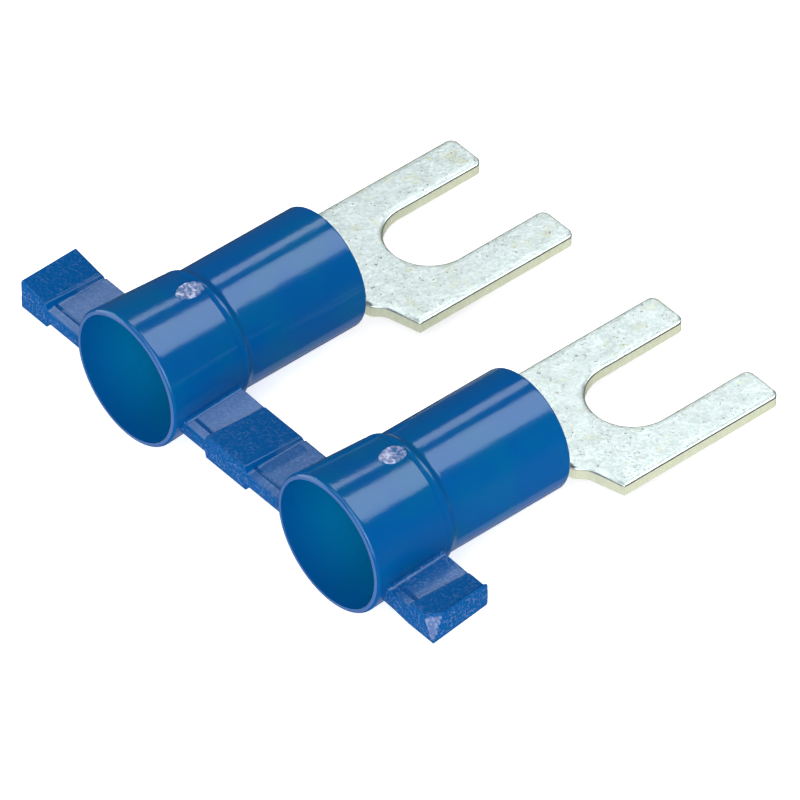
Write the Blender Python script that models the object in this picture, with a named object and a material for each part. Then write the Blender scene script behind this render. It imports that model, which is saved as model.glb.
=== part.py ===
"""Two insulated fork terminals, still joined by the carrier strip they were moulded on.

One blue moulding makes both insulating sleeves and the web between them. In each sleeve sits
a fork terminal, stamped from one sheet of tinned copper, with its barrel rolled to a tube.
Lengths are in metres. +Z is up, and the forks point along +Y.
"""
import math

import bmesh
import bpy

# The strip: how many terminals, how far apart, and where it is cut off its reel
TERMINAL_COUNT = 2
PITCH = 0.0127
CUT_FROM_AXIS = 0.00535

# The fork terminal's sheet and its rolled barrel
SHEET = 0.00056
CRIMP_BORE_RADIUS = 0.0015
CRIMP_LENGTH = 0.0044
SEAM_GAP = 0.0001
MOUTH_CHAMFER = 0.00015
SERRATION_COUNT = 3
SERRATION_SPACING = 0.0009
SERRATION_WIDTH = 0.00028
SERRATION_DEPTH = 0.0001

# The tongue: neck, shoulders and the fork's slot
NECK_WIDTH = 0.00366
NECK_RUN_OUT = 0.0006
NECK_FILLET = 0.0006
SHOULDER_SETBACK = 0.00186
SHOULDER_ANGLE = math.radians(16)
TONGUE_WIDTH = 0.00784
BRIDGE_LENGTH = 0.00189
SLOT_WIDTH = 0.00386
SLOT_DEPTH = 0.00651
TIP_RADIUS = 0.00038
FLAT_MARGIN = 0.00015

# The insulating sleeve, outside
SLEEVE_WALL = 0.00065
SLEEVE_OVERHANG = 0.00065
SHOULDER_STEP = 0.00017
SHOULDER_ROUND = 0.00035
SHOULDER_SLOPE = math.radians(40)
COLLAR_FLARE = 0.0002
COLLAR_PAST_WEB = 0.00035
RIM_ROUND = 0.0002
END_ROUND = 0.0001

# The insulating sleeve, inside
RIM_WALL = 0.0003
MOUTH_BREAK = 0.00004
COLLAR_WALL = 0.00034
FUNNEL_PAST_COLLAR = 0.00005
FUNNEL_LENGTH = 0.001
THROAT_LENGTH = 0.0003
THROAT_CLEARANCE = 0.00004
SEAT_CLEARANCE = 0.00005
STOP_CLEARANCE = 0.00005

# The web between the sleeves: thin links beside each collar, a thick pad in the middle
WEB_FROM_RIM = 0.00053
WEB_LENGTH = 0.00317
LINK_BELOW_AXIS = 0.00057
LINK_THICKNESS = 0.00065
LINK_FILLET = 0.0003
LINK_FILLET_INSET = 0.00012
LINK_FILLET_SINK = 0.00001
LINK_EDGE = 0.00008
LINK_SETBACK = 0.00003
LINK_INTO_PAD = 0.00011
GROOVE_FROM_FRONT = 0.00055
GROOVE_WIDTH = 0.00016
GROOVE_DEPTH = 0.0001
PAD_FROM_AXIS = 0.0044
PAD_LENGTH = 0.00265
PAD_SKEW = 0.0004
PAD_RISE = 0.00029
PAD_FALL = 0.00004
PAD_BELOW_LINK = 0.0003
PAD_EDGE = 0.00007
CUT_SKEW = 0.00033
CUT_SWELL = 0.00015
BURR_REACH = 0.00053
TORN_WIDTH = 0.00053
TORN_LENGTH = 0.00072
TORN_FOOT = 0.00018
KEEL_DEPTH = 0.00016
KEEL_INSET = 0.00002

# The broken gate on top of each collar, where the plastic ran in
GATE_FROM_RIM = 0.00335
GATE_WIDTH = 0.00086
GATE_LENGTH = 0.0013
GATE_HEIGHT = 0.0001
GATE_DISH = 0.00006
GATE_RIPPLE = 0.00003
GATE_RIDGE_SHARE = 0.86
GATE_FLOOR_SHARE = 0.5
GATE_LOBES = 3

# Fineness of the curved surfaces
SLEEVE_SIDES = 48
BARREL_SIDES = 20
GATE_SIDES = 16
RUN_OUT_STEPS = 8
NECK_STEPS = 4
ARC_STEP = math.radians(18)
SMOOTH_UP_TO = math.radians(32)
ROUND_FROM = math.radians(40)
FLAT_BELOW = 1.0
WELD_DISTANCE = 1e-7

# Sizes that follow from the ones above
BARREL_RADIUS = CRIMP_BORE_RADIUS + SHEET
SEAT_RADIUS = BARREL_RADIUS + SEAT_CLEARANCE
SLEEVE_RADIUS = SEAT_RADIUS + SLEEVE_WALL
COLLAR_RADIUS = SLEEVE_RADIUS + SHOULDER_STEP
RIM_RADIUS = COLLAR_RADIUS + COLLAR_FLARE
THROAT_RADIUS = CRIMP_BORE_RADIUS + THROAT_CLEARANCE
COLLAR_LENGTH = WEB_FROM_RIM + WEB_LENGTH + COLLAR_PAST_WEB
COLLAR_DEPTH = COLLAR_LENGTH + FUNNEL_PAST_COLLAR
SEAT_START = COLLAR_DEPTH + FUNNEL_LENGTH + THROAT_LENGTH
BARREL_START = SEAT_START + STOP_CLEARANCE
BARREL_END = BARREL_START + CRIMP_LENGTH
SLEEVE_END = BARREL_END + SLEEVE_OVERHANG
SHOULDER_Y = SLEEVE_END + SHOULDER_SETBACK
ROOT_Y = SHOULDER_Y + BRIDGE_LENGTH
TIP_Y = ROOT_Y + SLOT_DEPTH
LINK_TOP = -LINK_BELOW_AXIS
LINK_BOTTOM = LINK_TOP - LINK_THICKNESS
PAD_BOTTOM = LINK_BOTTOM - PAD_BELOW_LINK
WEB_FRONT = WEB_FROM_RIM
WEB_BACK = WEB_FROM_RIM + WEB_LENGTH
LINK_FRONT = WEB_FRONT + LINK_SETBACK
LINK_BACK = WEB_BACK - LINK_SETBACK
STRIP_LENGTH = TERMINAL_COUNT * PITCH


def clear_scene():
    for old in list(bpy.data.objects):
        bpy.data.objects.remove(old, do_unlink=True)


def make_material(name, colour, roughness, metallic):
    material = bpy.data.materials.new(name)
    material.use_nodes = True
    shader = material.node_tree.nodes["Principled BSDF"]
    shader.inputs["Base Color"].default_value = (*colour, 1.0)
    shader.inputs["Roughness"].default_value = roughness
    shader.inputs["Metallic"].default_value = metallic
    material.diffuse_color = (*colour, 1.0)
    return material


def make_object(name, bm, material, parent, location=(0.0, 0.0, 0.0)):
    """Weld a bmesh, turn its faces outwards and put it in the scene as one object."""
    bmesh.ops.remove_doubles(bm, verts=bm.verts, dist=WELD_DISTANCE)
    bmesh.ops.recalc_face_normals(bm, faces=bm.faces)
    mesh = bpy.data.meshes.new(name)
    bm.to_mesh(mesh)
    bm.free()
    mesh.materials.append(material)
    mesh.shade_smooth()
    mesh.set_sharp_from_angle(angle=SMOOTH_UP_TO)
    piece = bpy.data.objects.new(name, mesh)
    bpy.context.scene.collection.objects.link(piece)
    piece.parent = parent
    piece.location = location
    return piece


def make_tool(name, bm, material, parent, location=(0.0, 0.0, 0.0)):
    """A shape that is only added to, or cut from, the moulding."""
    tool = make_object(name, bm, material, parent, location)
    tool.hide_render = True
    tool.display_type = "WIRE"
    return tool


def combine(target, tool, operation):
    step = target.modifiers.new(operation.lower() + "_" + tool.name, "BOOLEAN")
    step.operation = operation
    step.solver = "EXACT"
    step.object = tool


def round_edges(piece, width, segments=2):
    step = piece.modifiers.new("rounded_edges", "BEVEL")
    step.width = width
    step.segments = segments
    step.limit_method = "ANGLE"
    step.angle_limit = ROUND_FROM
    piece.modifiers.new("flat_faces", "TRIANGULATE")


def arc(centre, radius, start, end):
    """Points on a circle from one angle to another, ends included."""
    steps = max(2, math.ceil(abs(end - start) / ARC_STEP))
    points = []
    for step in range(steps + 1):
        angle = start + (end - start) * step / steps
        points.append((centre[0] + radius * math.cos(angle), centre[1] + radius * math.sin(angle)))
    return points


def ease(value):
    """Rise smoothly from 0 to 1 while the value goes from 0 to 1."""
    value = min(1.0, max(0.0, value))
    return value * value * (3.0 - 2.0 * value)


def turned(profile, first_angle=0.0):
    """Turn (radius, y) points, which start and end on the axis, into a solid about the Y axis."""
    bm = bmesh.new()
    sine = math.sin(first_angle)
    cosine = math.cos(first_angle)
    line = [bm.verts.new((radius * sine, y, radius * cosine)) for radius, y in profile]
    edges = [bm.edges.new(pair) for pair in zip(line, line[1:])]
    bmesh.ops.spin(bm, geom=line + edges, cent=(0.0, 0.0, 0.0), axis=(0.0, 1.0, 0.0),
                   angle=2.0 * math.pi, steps=SLEEVE_SIDES)
    return bm


def extruded(outline, start, end):
    """Extrude a (y, z) outline along X."""
    bm = bmesh.new()
    face = bm.faces.new([bm.verts.new((start, y, z)) for y, z in outline])
    moved = bmesh.ops.extrude_face_region(bm, geom=[face])["geom"]
    bmesh.ops.translate(bm, verts=[item for item in moved if isinstance(item, bmesh.types.BMVert)],
                        vec=(end - start, 0.0, 0.0))
    return bm


def prism(lower, upper):
    """A block between a lower and an upper ring of points, which may be askew."""
    bm = bmesh.new()
    low = [bm.verts.new(point) for point in lower]
    high = [bm.verts.new(point) for point in upper]
    bm.faces.new(low)
    bm.faces.new(high)
    for here in range(len(low)):
        there = (here + 1) % len(low)
        bm.faces.new((low[here], low[there], high[there], high[here]))
    return bm


def sleeve_outside():
    """The collar tapers from its rim to a rounded shoulder, and the sleeve runs on from there."""
    lost = SHOULDER_ROUND * (1.0 - math.cos(SHOULDER_SLOPE))
    fillet = (SHOULDER_STEP - lost) / (1.0 - math.cos(SHOULDER_SLOPE))
    fillet_y = COLLAR_LENGTH + (SHOULDER_ROUND + fillet) * math.sin(SHOULDER_SLOPE)
    quarter = math.pi / 2.0
    profile = [(0.0, 0.0)]
    profile += arc((RIM_RADIUS - RIM_ROUND, RIM_ROUND), RIM_ROUND, -quarter, 0.0)
    profile += arc((COLLAR_RADIUS - SHOULDER_ROUND, COLLAR_LENGTH), SHOULDER_ROUND, 0.0, SHOULDER_SLOPE)
    profile += arc((SLEEVE_RADIUS + fillet, fillet_y), fillet, math.pi + SHOULDER_SLOPE, math.pi)[1:]
    profile += arc((SLEEVE_RADIUS - END_ROUND, SLEEVE_END - END_ROUND), END_ROUND, 0.0, quarter)
    profile.append((0.0, SLEEVE_END))
    return profile


def sleeve_inside():
    """The wire enters through the collar and a funnel, and the metal barrel seats past the throat."""
    mouth = RIM_RADIUS - RIM_WALL
    past = RIM_WALL
    return [
        (0.0, -past),
        (mouth + MOUTH_BREAK + past, -past),
        (mouth, MOUTH_BREAK),
        (COLLAR_RADIUS - COLLAR_WALL, COLLAR_DEPTH),
        (THROAT_RADIUS, COLLAR_DEPTH + FUNNEL_LENGTH),
        (THROAT_RADIUS, SEAT_START),
        (SEAT_RADIUS, SEAT_START),
        (SEAT_RADIUS, SLEEVE_END + past),
        (0.0, SLEEVE_END + past),
    ]


def link_outline():
    """Section of a thin link, with the groove along its top near the front edge."""
    groove = WEB_FRONT + GROOVE_FROM_FRONT
    return [
        (LINK_FRONT, LINK_BOTTOM + LINK_EDGE),
        (LINK_FRONT, LINK_TOP - LINK_EDGE),
        (LINK_FRONT + LINK_EDGE, LINK_TOP),
        (groove - GROOVE_WIDTH / 2.0, LINK_TOP),
        (groove, LINK_TOP - GROOVE_DEPTH),
        (groove + GROOVE_WIDTH / 2.0, LINK_TOP),
        (LINK_BACK - LINK_EDGE, LINK_TOP),
        (LINK_BACK, LINK_TOP - LINK_EDGE),
        (LINK_BACK, LINK_BOTTOM + LINK_EDGE),
        (LINK_BACK - LINK_EDGE, LINK_BOTTOM),
        (LINK_FRONT + LINK_EDGE, LINK_BOTTOM),
    ]


def link_root(side):
    """The hollow fillet where a link's top and underside run into the collar."""
    front = LINK_FRONT + LINK_FILLET_INSET
    back = LINK_BACK - LINK_FILLET_INSET
    middle = (LINK_TOP + LINK_BOTTOM) / 2.0
    section = []
    for level, way in ((LINK_TOP, 1.0), (LINK_BOTTOM, -1.0)):
        reach = math.sqrt(COLLAR_RADIUS ** 2 - level ** 2)
        centre = (reach + LINK_FILLET, level + way * (LINK_FILLET - LINK_FILLET_SINK))
        curve = arc(centre, LINK_FILLET, math.pi, math.pi + way * math.pi / 2.0)
        section.append([(reach - LINK_FILLET * 2.0, centre[1])] + curve)
    outline = section[0] + [(section[0][-1][0], middle), (section[1][-1][0], middle)]
    outline += list(reversed(section[1]))
    lower = [(side * x, front, z) for x, z in outline]
    upper = [(side * x, back, z) for x, z in outline]
    return prism(lower, upper)


def pad_block(start, end, start_is_cut, end_is_cut):
    """A thick pad of the web: its top falls to the back, its cuts slant, and its right side is drawn in."""
    front_top = LINK_TOP + PAD_RISE
    back_top = LINK_TOP - PAD_FALL
    swell_start = CUT_SWELL if start_is_cut else 0.0
    swell_end = CUT_SWELL if end_is_cut else 0.0
    skew_start = CUT_SKEW if start_is_cut else 0.0
    skew_end = CUT_SKEW if end_is_cut else PAD_SKEW
    lower = [(start, WEB_FRONT, PAD_BOTTOM), (end, WEB_FRONT, PAD_BOTTOM)]
    upper = [(start, WEB_FRONT, front_top + swell_start)]
    if end_is_cut:
        foot = TORN_FOOT / WEB_LENGTH
        torn = TORN_LENGTH / WEB_LENGTH
        upper.append((end - TORN_WIDTH, WEB_FRONT, front_top))
        lower.append((end - skew_end * foot, WEB_FRONT + TORN_FOOT, PAD_BOTTOM))
        upper.append((end - skew_end * torn, WEB_FRONT + TORN_LENGTH, front_top + (back_top - front_top) * torn))
    else:
        upper.append((end, WEB_FRONT, front_top))
    lower += [(end - skew_end, WEB_BACK, PAD_BOTTOM), (start - skew_start, WEB_BACK, PAD_BOTTOM)]
    upper.append((end - skew_end, WEB_BACK, back_top + swell_end))
    upper.append((start - skew_start, WEB_BACK, back_top + swell_start))
    return prism(lower, upper)


def tab_keel():
    """The last link's underside, which runs down to the last pad without a step."""
    front = LINK_FRONT + KEEL_INSET
    back = LINK_BACK - KEEL_INSET
    inner = COLLAR_RADIUS - COLLAR_WALL
    outer = PAD_FROM_AXIS + PAD_EDGE * 2.0
    middle = (LINK_TOP + LINK_BOTTOM) / 2.0
    near = LINK_BOTTOM - KEEL_DEPTH
    far = PAD_BOTTOM + KEEL_INSET
    lower = [(inner, front, near), (outer, front, far), (outer, back, far), (inner, back, near)]
    upper = [(x, y, middle) for x, y, z in lower]
    return prism(lower, upper)


def gate_stub():
    """The rough oval left where the gate was broken off, a little higher at its torn edge."""
    bm = bmesh.new()
    rings = []
    levels = (
        (1.0, -COLLAR_WALL / 2.0, 0.0),
        (1.0, GATE_HEIGHT / 2.0, 0.0),
        (GATE_RIDGE_SHARE, GATE_HEIGHT, GATE_RIPPLE),
        (GATE_FLOOR_SHARE, GATE_HEIGHT - GATE_DISH, GATE_RIPPLE),
    )
    for share, height, ripple in levels:
        ring = []
        for side in range(GATE_SIDES):
            angle = 2.0 * math.pi * side / GATE_SIDES
            x = share * GATE_WIDTH / 2.0 * math.cos(angle)
            y = GATE_FROM_RIM + share * GATE_LENGTH / 2.0 * math.sin(angle)
            surface = RIM_RADIUS - COLLAR_FLARE * y / COLLAR_LENGTH
            z = surface + height + ripple * math.sin(GATE_LOBES * angle + share)
            ring.append(bm.verts.new((x, y, z)))
        rings.append(ring)
    for inner, outer in zip(rings, rings[1:]):
        for here in range(GATE_SIDES):
            there = (here + 1) % GATE_SIDES
            bm.faces.new((inner[here], inner[there], outer[there], outer[here]))
    bm.faces.new(rings[0])
    bm.faces.new(rings[-1])
    return bm


def make_moulding(plastic, datum, axes):
    """Join the sleeves, links, pads and gate stubs, then open the bores through them."""
    pads = [(axes[0] - PITCH + CUT_FROM_AXIS, axes[0] - PITCH + PAD_FROM_AXIS + PAD_LENGTH, True, False)]
    for axis in axes[:-1]:
        pads.append((axis + PAD_FROM_AXIS, axis + PAD_FROM_AXIS + PAD_LENGTH, False, False))
    pads.append((axes[-1] + PAD_FROM_AXIS, axes[-1] + CUT_FROM_AXIS + BURR_REACH, False, True))
    moulding = make_object("insulator_strip", turned(sleeve_outside()), plastic, datum, (axes[0], 0.0, 0.0))
    for number, axis in enumerate(axes[1:], start=2):
        sleeve = make_tool("sleeve_%d" % number, turned(sleeve_outside()), plastic, datum, (axis, 0.0, 0.0))
        combine(moulding, sleeve, "UNION")
    for number, axis in enumerate(axes, start=1):
        left = -(PITCH - PAD_FROM_AXIS - PAD_LENGTH) - PAD_SKEW - LINK_INTO_PAD
        right = PAD_FROM_AXIS + LINK_INTO_PAD
        place = (axis, 0.0, 0.0)
        link = make_tool("link_%d" % number, extruded(link_outline(), left, right), plastic, datum, place)
        combine(moulding, link, "UNION")
        for side, word in ((-1.0, "left"), (1.0, "right")):
            root = make_tool("root_%s_%d" % (word, number), link_root(side), plastic, datum, place)
            combine(moulding, root, "UNION")
    for number, (start, end, start_is_cut, end_is_cut) in enumerate(pads, start=1):
        block = pad_block(start, end, start_is_cut, end_is_cut)
        pad = make_tool("pad_%d" % number, block, plastic, datum)
        round_edges(pad, PAD_EDGE)
        combine(moulding, pad, "UNION")
    keel = make_tool("keel", tab_keel(), plastic, datum, (axes[-1], 0.0, 0.0))
    combine(moulding, keel, "UNION")
    for number, axis in enumerate(axes, start=1):
        gate = make_tool("gate_%d" % number, gate_stub(), plastic, datum, (axis, 0.0, 0.0))
        combine(moulding, gate, "UNION")
    half_side = math.pi / SLEEVE_SIDES
    for number, axis in enumerate(axes, start=1):
        bore = make_tool("bore_%d" % number, turned(sleeve_inside(), half_side), plastic, datum, (axis, 0.0, 0.0))
        combine(moulding, bore, "DIFFERENCE")
    return moulding


def neck_fillet():
    """Centre of the fillet that leads the neck's side into the sloping shoulder."""
    centre_x = NECK_WIDTH / 2.0 + NECK_FILLET
    reach = TONGUE_WIDTH / 2.0 - centre_x
    centre_y = SHOULDER_Y - reach * math.tan(SHOULDER_ANGLE) - NECK_FILLET / math.cos(SHOULDER_ANGLE)
    return centre_x, centre_y


def blank_stations():
    """Rows of the flat blank from the wire end to the shoulders: (y, half width, bite into the bore)."""
    barrel_half = math.pi * (BARREL_RADIUS - SHEET / 2.0) - SEAM_GAP / 2.0
    neck_half = NECK_WIDTH / 2.0
    rows = [(BARREL_START, barrel_half, MOUTH_CHAMFER)]
    rows.append((BARREL_START + MOUTH_CHAMFER, barrel_half, 0.0))
    first = BARREL_START + CRIMP_LENGTH / 2.0 - SERRATION_SPACING * (SERRATION_COUNT - 1) / 2.0
    for number in range(SERRATION_COUNT):
        middle = first + number * SERRATION_SPACING
        rows.append((middle - SERRATION_WIDTH / 2.0, barrel_half, 0.0))
        rows.append((middle, barrel_half, SERRATION_DEPTH))
        rows.append((middle + SERRATION_WIDTH / 2.0, barrel_half, 0.0))
    for step in range(RUN_OUT_STEPS + 1):
        share = step / RUN_OUT_STEPS
        half = barrel_half + (neck_half - barrel_half) * ease(share)
        rows.append((BARREL_END + (share - 1.0) * NECK_RUN_OUT + SLEEVE_OVERHANG / 2.0, half, 0.0))
    centre_x, centre_y = neck_fillet()
    for step in range(NECK_STEPS):
        rows.append((SLEEVE_END + (centre_y - SLEEVE_END) * step / NECK_STEPS, neck_half, 0.0))
    for x, y in arc((centre_x, centre_y), NECK_FILLET, math.pi, math.pi / 2.0 + SHOULDER_ANGLE):
        rows.append((y, x, 0.0))
    rows.append((SHOULDER_Y, TONGUE_WIDTH / 2.0, 0.0))
    return rows


def bent(distance, curvature, depth):
    """Place a point of the sheet, bent to a curvature; depth is its height above the sheet's middle."""
    turn = distance * curvature
    if abs(curvature) < FLAT_BELOW:
        return distance, depth
    radius = 1.0 / curvature
    return (radius - depth) * math.sin(turn), radius - (radius - depth) * math.cos(turn)


def fork_outline():
    """Right half of the tongue past its shoulder, from the outer edge round the tip to the slot's root."""
    half = TONGUE_WIDTH / 2.0
    slot = SLOT_WIDTH / 2.0
    quarter = math.pi / 2.0
    points = arc((half - TIP_RADIUS, TIP_Y - TIP_RADIUS), TIP_RADIUS, 0.0, quarter)
    points += arc((slot + TIP_RADIUS, TIP_Y - TIP_RADIUS), TIP_RADIUS, quarter, 2.0 * quarter)
    points += arc((0.0, ROOT_Y + slot), slot, 0.0, -quarter)[:-1]
    return points


def fork_sheet():
    """The stamped blank with its barrel rolled up and its tongue flat, as one closed skin."""
    bm = bmesh.new()
    middle_radius = BARREL_RADIUS - SHEET / 2.0
    base = -middle_radius
    flat_y = SHOULDER_Y - FLAT_MARGIN
    rings = []
    for y, half, bite in blank_stations():
        left_curl = ease((y - SLEEVE_END) / (flat_y - SLEEVE_END))
        curvature = (1.0 - left_curl) / middle_radius
        outer = []
        inner = []
        for side in range(BARREL_SIDES + 1):
            distance = half * (2.0 * side / BARREL_SIDES - 1.0)
            x, z = bent(distance, curvature, -SHEET / 2.0)
            outer.append(bm.verts.new((x, y, base + z)))
            x, z = bent(distance, curvature, SHEET / 2.0 - bite)
            inner.append(bm.verts.new((x, y, base + z)))
        rings.append(outer + list(reversed(inner)))
    for ring, after in zip(rings, rings[1:]):
        for here in range(len(ring)):
            there = (here + 1) % len(ring)
            bm.faces.new((ring[here], ring[there], after[there], after[here]))
    first = rings[0]
    for side in range(BARREL_SIDES):
        bm.faces.new((first[side], first[side + 1], first[-2 - side], first[-1 - side]))
    right = fork_outline()
    root = (0.0, ROOT_Y)
    around = right + [root] + [(-x, y) for x, y in reversed(right)]
    under = [bm.verts.new((x, y, base - SHEET / 2.0)) for x, y in around]
    over = [bm.verts.new((x, y, base + SHEET / 2.0)) for x, y in around]
    last_outer = rings[-1][:BARREL_SIDES + 1]
    last_inner = list(reversed(rings[-1][BARREL_SIDES + 1:]))
    under = [last_outer[-1]] + under + [last_outer[0]]
    over = [last_inner[-1]] + over + [last_inner[0]]
    for here in range(len(under) - 1):
        bm.faces.new((under[here], under[here + 1], over[here + 1], over[here]))
    bm.faces.new(under + last_outer[1:-1])
    bm.faces.new(over + last_inner[1:-1])
    return bm


def build():
    clear_scene()
    plastic = make_material("blue_sleeve_plastic", (0.0, 0.088, 0.305), 0.22, 0.0)
    tin = make_material("tinned_copper", (0.72, 0.74, 0.70), 0.32, 1.0)
    datum = bpy.data.objects.new("strip_datum", None)
    datum.location = ((CUT_SKEW - BURR_REACH) / 2.0, -TIP_Y / 2.0, RIM_RADIUS)
    bpy.context.scene.collection.objects.link(datum)
    first = -STRIP_LENGTH / 2.0 + PITCH - CUT_FROM_AXIS
    axes = [first + number * PITCH for number in range(TERMINAL_COUNT)]
    make_moulding(plastic, datum, axes)
    for number, axis in enumerate(axes, start=1):
        make_object("fork_terminal_%d" % number, fork_sheet(), tin, datum, (axis, 0.0, 0.0))


build()
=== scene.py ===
import math

import bmesh
import bpy
from mathutils import Matrix, Vector, noise


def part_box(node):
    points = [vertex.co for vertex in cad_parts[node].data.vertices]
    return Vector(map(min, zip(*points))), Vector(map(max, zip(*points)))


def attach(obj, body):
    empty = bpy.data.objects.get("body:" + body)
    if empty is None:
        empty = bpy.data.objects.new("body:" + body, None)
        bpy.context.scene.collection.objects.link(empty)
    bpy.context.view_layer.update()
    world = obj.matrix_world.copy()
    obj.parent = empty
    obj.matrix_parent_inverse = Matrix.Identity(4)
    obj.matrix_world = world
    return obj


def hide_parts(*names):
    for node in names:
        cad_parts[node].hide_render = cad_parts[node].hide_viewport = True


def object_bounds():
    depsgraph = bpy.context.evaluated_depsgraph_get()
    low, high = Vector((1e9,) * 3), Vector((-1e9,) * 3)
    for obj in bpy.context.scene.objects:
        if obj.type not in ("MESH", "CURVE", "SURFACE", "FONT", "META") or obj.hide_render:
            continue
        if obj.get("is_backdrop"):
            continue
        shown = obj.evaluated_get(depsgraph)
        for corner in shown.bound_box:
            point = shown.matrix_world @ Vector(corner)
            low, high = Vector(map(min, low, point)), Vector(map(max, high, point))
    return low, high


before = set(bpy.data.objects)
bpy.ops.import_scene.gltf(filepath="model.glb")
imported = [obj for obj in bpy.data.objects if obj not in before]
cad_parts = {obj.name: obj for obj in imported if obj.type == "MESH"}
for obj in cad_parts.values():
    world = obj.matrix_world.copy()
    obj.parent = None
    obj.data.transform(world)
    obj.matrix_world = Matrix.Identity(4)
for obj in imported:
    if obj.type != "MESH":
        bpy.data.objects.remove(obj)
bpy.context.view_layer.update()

# Insulating sleeves.
# Two tubes of glossy blue plastic, moulded in one shot with the web. Each has a flared collar for the wire's
# insulation, a rounded shoulder with a fine lip, and a barrel that takes the metal from the fork end.
MM = 0.001
SLEEVES = 2
PITCH = 12.7 * MM
SLEEVE_RADIUS = 2.76 * MM
SLEEVE_LENGTH = 10.5 * MM
COLLAR_RADIUS = 2.93 * MM
COLLAR_LENGTH = 4.05 * MM
RIM_RADIUS = 3.13 * MM
RIM_ROUND = 0.2 * MM
MOUTH_BREAK = 0.03 * MM
SHOULDER_ROUND = 0.35 * MM
SHOULDER_SLOPE = math.radians(40)
LIP_WIDTH = 0.25 * MM
LIP_HOLLOW = 0.05 * MM
LIP_DROP = 0.03 * MM
LIP_EDGE = 0.06 * MM
END_ROUND = 0.1 * MM
RIM_BORE = 2.9 * MM
COLLAR_BORE = 2.59 * MM
COLLAR_DEPTH = 4.1 * MM
THROAT_BORE = 1.54 * MM
THROAT_START = 5.1 * MM
SEAT_START = 5.4 * MM
SEAT_BORE = 2.11 * MM
LEFT_END_TO_AXIS = 7.673 * MM
GUARD = 0.06 * MM
WELD = 0.0005 * MM
SLEEVE_SIDES = 160
RIM_SHEEN_SHARE = 0.18

strip_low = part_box("insulator_strip")[0]
FIRST_AXIS = strip_low.x + LEFT_END_TO_AXIS
RIM_Y = strip_low.y
AXIS_Z = strip_low.z + RIM_RADIUS


def corner_arc(centre, radius, start, end, steps):
    """Points of an arc from one angle to another, in degrees, ends included."""
    points = []
    for step in range(steps + 1):
        angle = math.radians(start + (end - start) * step / steps)
        points.append((centre[0] + radius * math.cos(angle), centre[1] + radius * math.sin(angle)))
    return points


def with_guards(points, guard):
    """Add a point close to each end of every long straight run, so that roundings shade only themselves."""
    guarded = []
    for here, there in zip(points, points[1:] + points[:1]):
        guarded.append(here)
        run = math.dist(here, there)
        if run > guard * 4.0:
            for distance in (guard, run - guard):
                share = distance / run
                x = here[0] + (there[0] - here[0]) * share
                y = here[1] + (there[1] - here[1]) * share
                guarded.append((x, y))
    return guarded


def collar_radius(y):
    """Outside radius of the collar at a distance behind its rim."""
    return RIM_RADIUS - (RIM_RADIUS - COLLAR_RADIUS) * y / COLLAR_LENGTH


def shoulder_lip():
    """A fine step before the shoulder, from which the wall rises again to a lip on the collar's edge."""
    start = COLLAR_LENGTH - LIP_WIDTH
    low = start + LIP_DROP
    low_radius = collar_radius(low) - LIP_HOLLOW
    share = 1.0 - LIP_EDGE / (COLLAR_LENGTH - low)
    edge = low + (COLLAR_LENGTH - low) * share
    edge_radius = low_radius + (COLLAR_RADIUS - low_radius) * share
    return [(collar_radius(start), start), (low_radius, low), (edge_radius, edge)]


slope = math.degrees(SHOULDER_SLOPE)
step_down = COLLAR_RADIUS - SLEEVE_RADIUS
hollow = (step_down - SHOULDER_ROUND * (1.0 - math.cos(SHOULDER_SLOPE))) / (1.0 - math.cos(SHOULDER_SLOPE))
hollow_y = COLLAR_LENGTH + (SHOULDER_ROUND + hollow) * math.sin(SHOULDER_SLOPE)
wall_line = corner_arc((RIM_RADIUS - RIM_ROUND, RIM_ROUND), RIM_ROUND, -90, 0, 10)
wall_line += shoulder_lip()
wall_line += corner_arc((COLLAR_RADIUS - SHOULDER_ROUND, COLLAR_LENGTH), SHOULDER_ROUND, 0, slope, 8)
wall_line += corner_arc((SLEEVE_RADIUS + hollow, hollow_y), hollow, 180 + slope, 180, 5)[1:]
wall_line += corner_arc((SLEEVE_RADIUS - END_ROUND, SLEEVE_LENGTH - END_ROUND), END_ROUND, 0, 90, 8)
wall_line += [(SEAT_BORE, SLEEVE_LENGTH), (SEAT_BORE, SEAT_START)]
wall_line += [(THROAT_BORE, SEAT_START), (THROAT_BORE, THROAT_START)]
funnel_corner = (COLLAR_BORE - SHOULDER_ROUND, COLLAR_DEPTH - SHOULDER_ROUND)
wall_line += corner_arc(funnel_corner, SHOULDER_ROUND, 45, 0, 5)
wall_line += corner_arc((RIM_BORE + MOUTH_BREAK, MOUTH_BREAK), MOUTH_BREAK, 180, 270, 4)
wall_line = with_guards(wall_line, GUARD)


class Output:
    """A node's output. Plus and times on it add Math nodes to the same tree."""

    def __init__(self, tree, socket):
        self.tree = tree
        self.socket = socket

    def maths(self, operation, first, second):
        return self.tree.add("ShaderNodeMath", {"operation": operation}, {0: first, 1: second})

    def __add__(self, other):
        return self.maths("ADD", self, other)

    def __mul__(self, other):
        return self.maths("MULTIPLY", self, other)


class NodeTree:
    """A tree that nodes are added to by type, with their settings and the values or links of their inputs."""

    def __init__(self, tree):
        self.tree = tree

    def add(self, kind, settings=None, inputs=None, output=0):
        node = self.tree.nodes.new(kind)
        for name, value in (settings or {}).items():
            setattr(node, name, value)
        for name, value in (inputs or {}).items():
            self.feed(node.inputs[name], value)
        return Output(self, node.outputs[output]) if node.outputs else node

    def feed(self, socket, value):
        if isinstance(value, Output):
            self.tree.links.new(value.socket, socket)
        else:
            socket.default_value = value

    def between(self, low, value, high):
        """0 up to the low value, 1 from the high one, smooth between them."""
        return self.add("ShaderNodeMapRange", {"interpolation_type": "SMOOTHSTEP"},
                        {"Value": value, "From Min": low, "From Max": high})


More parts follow.
